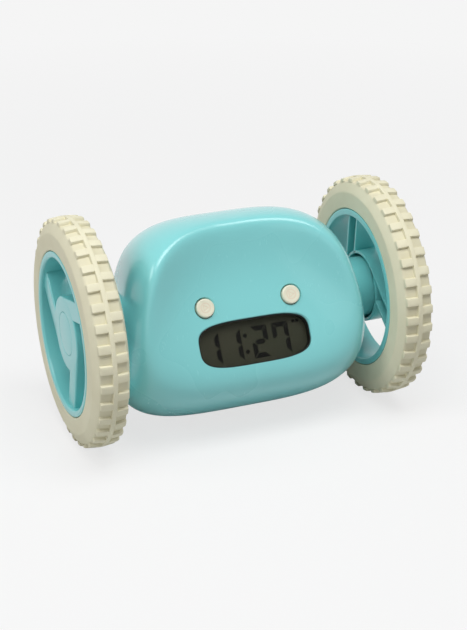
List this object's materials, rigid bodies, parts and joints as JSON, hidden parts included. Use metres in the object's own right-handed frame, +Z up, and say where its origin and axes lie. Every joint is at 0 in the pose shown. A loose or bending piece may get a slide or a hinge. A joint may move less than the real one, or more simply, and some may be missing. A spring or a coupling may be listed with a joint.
{
  "type": "alarm clock",
  "caption": "Digital alarm clock whose rounded housing hangs between two large motor-driven wheels, so that it rolls away when it rings.",
  "frame": {"origin": "on the floor, midway between the wheels and straight below the axle line", "axes": "+X runs along the axles from the left wheel to the right one as seen from the front, the display faces -Y, +Z is up"},
  "size_m": [0.137, 0.089, 0.089],
  "materials": {
    "aqua_gloss": "gloss",
    "aqua_rim": "satin gloss",
    "cream_rubber": "matt rubber",
    "ivory_plastic": "satin",
    "smoke_lens": "clear tinted",
    "cell_glass": "reflective display glass",
    "black_segments": "matt",
    "white_plastic": "satin",
    "board_green": "solder mask",
    "black_plastic": "satin",
    "pink_rubber": "matt",
    "steel": "zinc plated",
    "brass": "turned brass",
    "can_steel": "plated can",
    "cell_jacket": "printed jacket"
  },
  "bodies": {
    "housing": {"front_shell": "aqua_gloss", "rear_shell": "aqua_gloss", "display_lens": "smoke_lens", "display_cell": "cell_glass", "display_digits": "black_segments", "display_frame": "white_plastic", "contact_strip": "pink_rubber", "main_board": "board_green", "board_parts": "black_plastic", "board_screws": "steel", "eye_switches": "black_plastic", "set_board": "board_green", "set_switches": "black_plastic", "sounder": "black_plastic", "battery_cells": "cell_jacket", "battery_bay": "white_plastic", "battery_contacts": "steel", "case_screws": "steel", "left_motor": "can_steel", "right_motor": "can_steel", "gear_pins": "steel", "axle_bushes": "brass", "left_gearbox_plate": "white_plastic", "right_gearbox_plate": "white_plastic", "left_gearbox_cover": "aqua_rim", "right_gearbox_cover": "aqua_rim", "gearbox_screws": "steel"},
    "left_wheel": {"left_rim": "aqua_rim", "left_tyre": "cream_rubber", "left_hub_cap": "aqua_rim", "left_wheel_screw": "steel", "left_axle": "steel", "left_axle_gear": "white_plastic"},
    "left_idler_two": {"left_gear_two": "white_plastic"},
    "left_idler_one": {"left_gear_one": "white_plastic"},
    "left_motor_rotor": {"left_rotor": "brass"},
    "left_eye": {"left_eye_button": "ivory_plastic"},
    "right_wheel": {"right_rim": "aqua_rim", "right_tyre": "cream_rubber", "right_hub_cap": "aqua_rim", "right_wheel_screw": "steel", "right_axle": "steel", "right_axle_gear": "white_plastic"},
    "right_idler_two": {"right_gear_two": "white_plastic"},
    "right_idler_one": {"right_gear_one": "white_plastic"},
    "right_motor_rotor": {"right_rotor": "brass"},
    "right_eye": {"right_eye_button": "ivory_plastic"},
    "hour_key": {"hour_button": "ivory_plastic"},
    "minute_key": {"minute_button": "ivory_plastic"},
    "time_key": {"time_button": "ivory_plastic"},
    "alarm_key": {"alarm_button": "ivory_plastic"},
    "battery_lid": {"battery_cover": "aqua_gloss", "cover_screw": "steel"}
  },
  "joints": [
    {"name": "left_wheel_spin", "type": "hinge", "parent": "housing", "child": "left_wheel", "pos_m": [-0.0613, 0, 0.0445], "axis": [1, 0, 0], "continuous": true},
    {"name": "left_idler_two_spin", "type": "hinge", "parent": "housing", "child": "left_idler_two", "pos_m": [-0.032, 0.0101, 0.039], "axis": [1, 0, 0], "continuous": true},
    {"name": "left_idler_one_spin", "type": "hinge", "parent": "housing", "child": "left_idler_one", "pos_m": [-0.032, 0.00167, 0.03192], "axis": [1, 0, 0], "continuous": true},
    {"name": "left_rotor_spin", "type": "hinge", "parent": "housing", "child": "left_motor_rotor", "pos_m": [-0.032, -0.00966, 0.03392], "axis": [1, 0, 0], "continuous": true},
    {"name": "right_wheel_spin", "type": "hinge", "parent": "housing", "child": "right_wheel", "pos_m": [0.0613, 0, 0.0445], "axis": [1, 0, 0], "continuous": true},
    {"name": "right_idler_two_spin", "type": "hinge", "parent": "housing", "child": "right_idler_two", "pos_m": [0.032, 0.0101, 0.039], "axis": [1, 0, 0], "continuous": true},
    {"name": "right_idler_one_spin", "type": "hinge", "parent": "housing", "child": "right_idler_one", "pos_m": [0.032, 0.00167, 0.03192], "axis": [1, 0, 0], "continuous": true},
    {"name": "right_rotor_spin", "type": "hinge", "parent": "housing", "child": "right_motor_rotor", "pos_m": [0.032, -0.00966, 0.03392], "axis": [1, 0, 0], "continuous": true},
    {"name": "left_eye_press", "type": "slide", "parent": "housing", "child": "left_eye", "axis": [0, 0.8643, -0.503], "range_m": [0, 0.0006], "stiffness_N_per_m": 300},
    {"name": "right_eye_press", "type": "slide", "parent": "housing", "child": "right_eye", "axis": [0, 0.8643, -0.503], "range_m": [0, 0.0006], "stiffness_N_per_m": 300},
    {"name": "hour_press", "type": "slide", "parent": "housing", "child": "hour_key", "axis": [0, -0.8643, 0.503], "range_m": [0, 0.0006], "stiffness_N_per_m": 300},
    {"name": "minute_press", "type": "slide", "parent": "housing", "child": "minute_key", "axis": [0, -0.8643, 0.503], "range_m": [0, 0.0006], "stiffness_N_per_m": 300},
    {"name": "time_press", "type": "slide", "parent": "housing", "child": "time_key", "axis": [0, -0.8643, 0.503], "range_m": [0, 0.0006], "stiffness_N_per_m": 300},
    {"name": "alarm_press", "type": "slide", "parent": "housing", "child": "alarm_key", "axis": [0, -0.8643, 0.503], "range_m": [0, 0.0006], "stiffness_N_per_m": 300},
    {"name": "battery_lid_lift", "type": "slide", "parent": "housing", "child": "battery_lid", "axis": [0, 0.3907, -0.9205], "range_m": [0, 0.012]}
  ],
  "couplings": [
    {"joint": "left_idler_two_spin", "follows": "left_wheel_spin", "ratio": -3.6},
    {"joint": "left_idler_one_spin", "follows": "left_wheel_spin", "ratio": 12.24},
    {"joint": "left_rotor_spin", "follows": "left_wheel_spin", "ratio": -44.064},
    {"joint": "right_idler_two_spin", "follows": "right_wheel_spin", "ratio": -3.6},
    {"joint": "right_idler_one_spin", "follows": "right_wheel_spin", "ratio": 12.24},
    {"joint": "right_rotor_spin", "follows": "right_wheel_spin", "ratio": -44.064}
  ]
}
